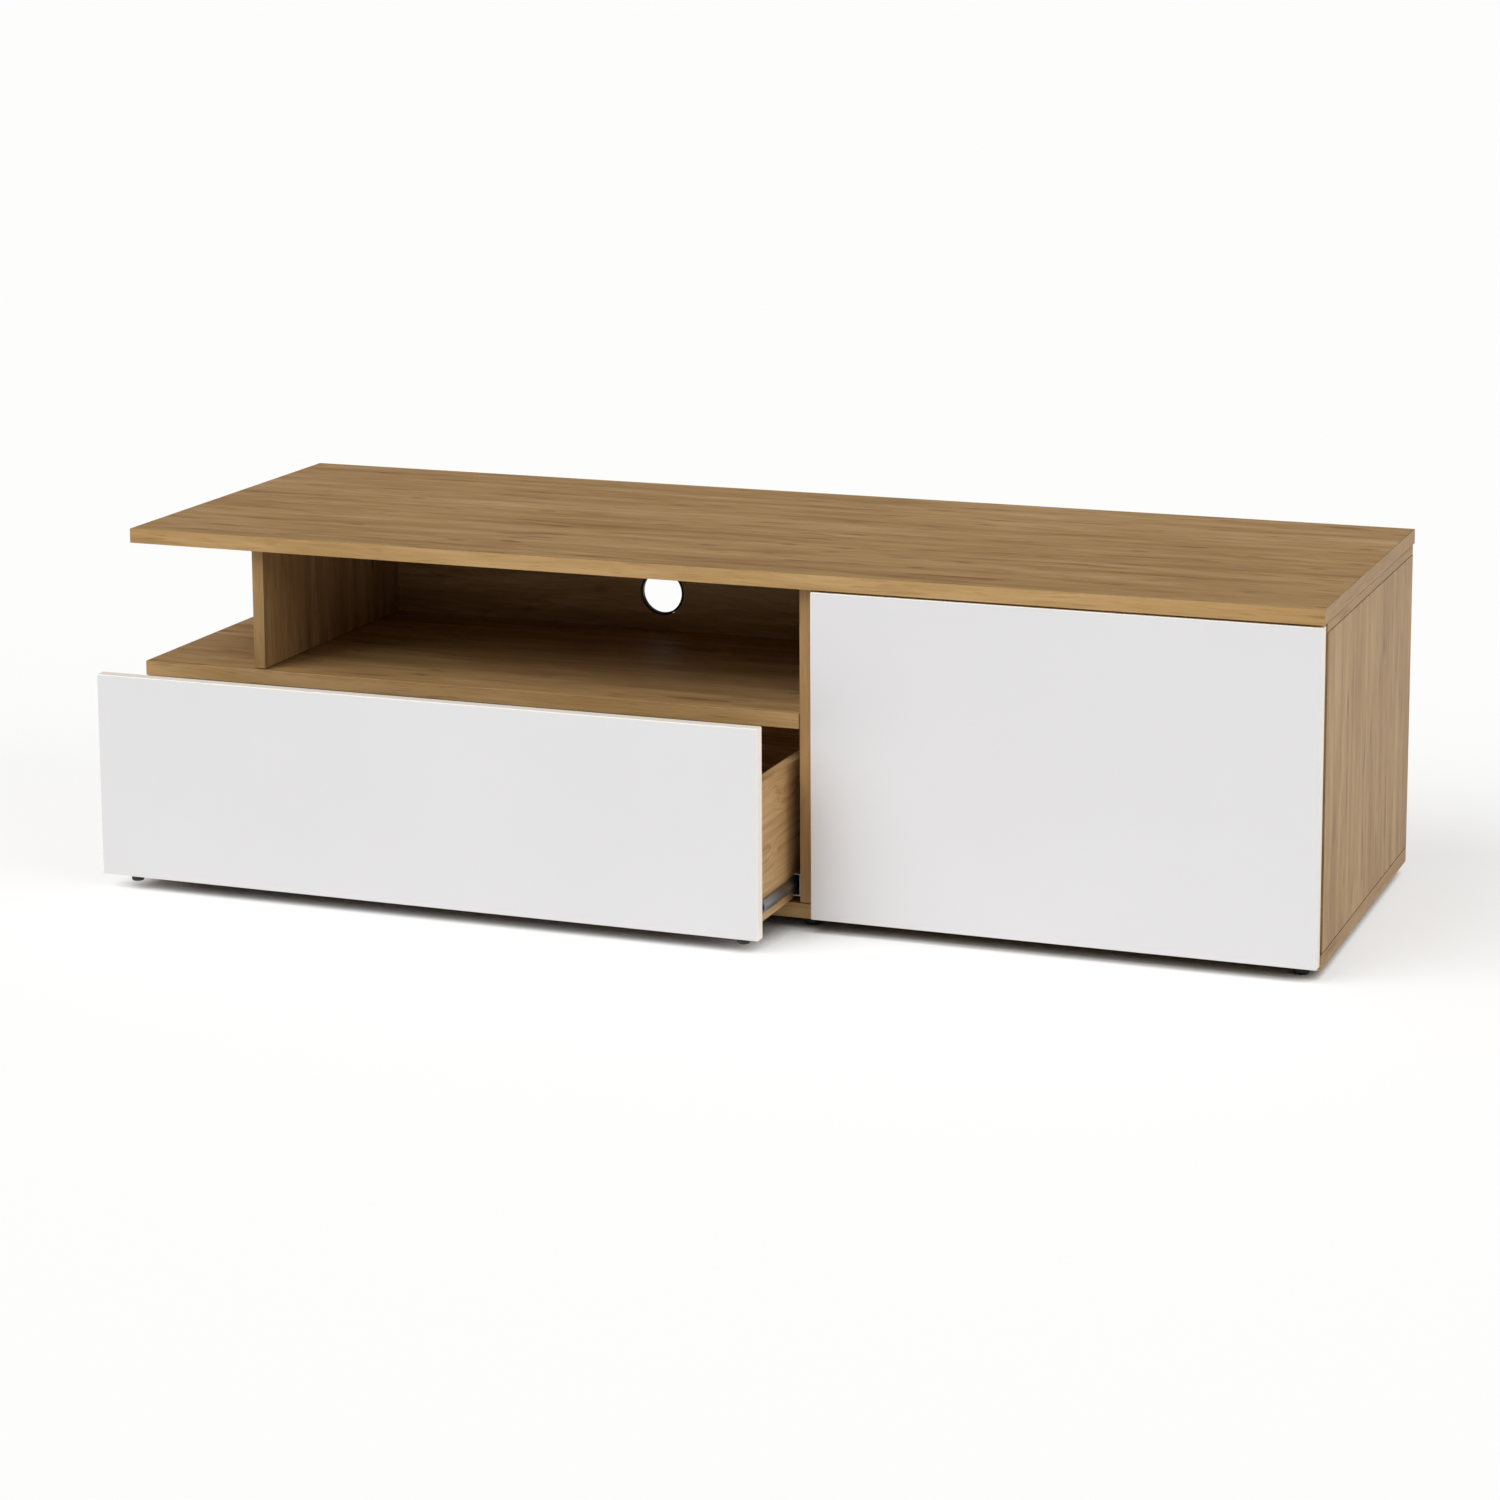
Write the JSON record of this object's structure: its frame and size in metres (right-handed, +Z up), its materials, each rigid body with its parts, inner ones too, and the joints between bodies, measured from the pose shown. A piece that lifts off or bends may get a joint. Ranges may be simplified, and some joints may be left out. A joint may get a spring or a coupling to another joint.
{
  "type": "tv stand with doors",
  "caption": "Low oak-decor TV stand with an open niche and cable hole, a wide white push-open drawer below it, and a white push-open door on the right.",
  "frame": {"origin": "middle of the base of the whole stand's box on the floor, with the drawer at its rest opening", "axes": "+X to the right along the top board, -Y out of the front, +Z up"},
  "size_m": [1.5, 0.6206, 0.43],
  "materials": {
    "oak_decor": "satin oak-decor melamine on particleboard, fine linear grain",
    "white_front": "satin white foil on fibreboard, softly rounded edges",
    "drawer_box_wood": "light wood with knots, matt",
    "hardboard": "thin brown hardboard, matt",
    "zinc_steel": "bright zinc plate",
    "nickel_steel": "satin nickel plate",
    "black_plastic": "moulded black plastic",
    "grey_plastic": "moulded grey plastic",
    "soft_pad": "clear soft pad"
  },
  "bodies": {
    "carcass": {"bottom_panel": "oak_decor", "left_side_panel": "oak_decor", "partition": "oak_decor", "fixed_shelf": "oak_decor", "niche_upright": "oak_decor", "sub_top_board": "oak_decor", "top_board": "oak_decor", "cabinet_left_wall": "oak_decor", "right_side_panel": "oak_decor", "inner_shelf": "oak_decor", "niche_back": "oak_decor", "drawer_bay_back": "hardboard", "cabinet_back": "hardboard", "slide_channel_left": "zinc_steel", "slide_channel_right": "zinc_steel", "hinge_arm_lower": "nickel_steel", "hinge_arm_upper": "nickel_steel", "hinge_plate_lower": "nickel_steel", "hinge_plate_upper": "nickel_steel", "shelf_pin_left_front": "nickel_steel", "shelf_pin_left_rear": "nickel_steel", "shelf_pin_right_front": "nickel_steel", "shelf_pin_right_rear": "nickel_steel", "cable_grommet": "black_plastic", "foot_left_front": "black_plastic", "foot_left_rear": "black_plastic", "foot_middle_front": "black_plastic", "foot_middle_rear": "black_plastic", "foot_right_front": "black_plastic", "foot_right_rear": "black_plastic", "door_latch_housing": "grey_plastic", "drawer_latch_housing": "grey_plastic"},
    "drawer": {"drawer_front": "white_front", "drawer_side_left": "drawer_box_wood", "drawer_side_right": "drawer_box_wood", "drawer_inner_front": "drawer_box_wood", "drawer_back": "drawer_box_wood", "drawer_bottom": "hardboard", "slide_rail_left": "zinc_steel", "slide_rail_right": "zinc_steel", "drawer_stop_pad_left": "soft_pad", "drawer_stop_pad_right": "soft_pad", "drawer_front_glide_left": "black_plastic", "drawer_front_glide_right": "black_plastic", "drawer_front_screw_1": "zinc_steel", "drawer_front_screw_2": "zinc_steel", "drawer_front_screw_3": "zinc_steel", "drawer_front_screw_4": "zinc_steel"},
    "door": {"door_panel": "white_front", "hinge_cup_lower": "nickel_steel", "hinge_cup_upper": "nickel_steel", "door_stop_pad_lower": "soft_pad", "door_stop_pad_upper": "soft_pad"},
    "left_ball_cage": {"slide_ball_cage_left": "grey_plastic"},
    "right_ball_cage": {"slide_ball_cage_right": "grey_plastic"},
    "door_push_plunger": {"door_latch_plunger": "grey_plastic"},
    "drawer_push_plunger": {"drawer_latch_plunger": "grey_plastic"}
  },
  "joints": [
    {"name": "drawer_slide", "type": "slide", "parent": "carcass", "child": "drawer", "axis": [0, -1, 0], "range_m": [-0.104, 0.226]},
    {"name": "left_cage_slide", "type": "slide", "parent": "carcass", "child": "left_ball_cage", "axis": [0, -1, 0], "range_m": [-0.052, 0.113]},
    {"name": "right_cage_slide", "type": "slide", "parent": "carcass", "child": "right_ball_cage", "axis": [0, -1, 0], "range_m": [-0.052, 0.113]},
    {"name": "door_hinge", "type": "hinge", "parent": "carcass", "child": "door", "pos_m": [0.7425, -0.19925, 0.21325], "axis": [0, 0, 1], "range_deg": [0, 105]},
    {"name": "door_latch_press", "type": "slide", "parent": "carcass", "child": "door_push_plunger", "axis": [0, 1, 0], "range_m": [0, 0.003], "stiffness_N_per_m": 300},
    {"name": "drawer_latch_press", "type": "slide", "parent": "carcass", "child": "drawer_push_plunger", "axis": [0, 1, 0], "range_m": [0, 0.003], "stiffness_N_per_m": 300}
  ],
  "couplings": [
    {"joint": "left_cage_slide", "follows": "drawer_slide", "ratio": 0.5},
    {"joint": "right_cage_slide", "follows": "drawer_slide", "ratio": 0.5}
  ]
}
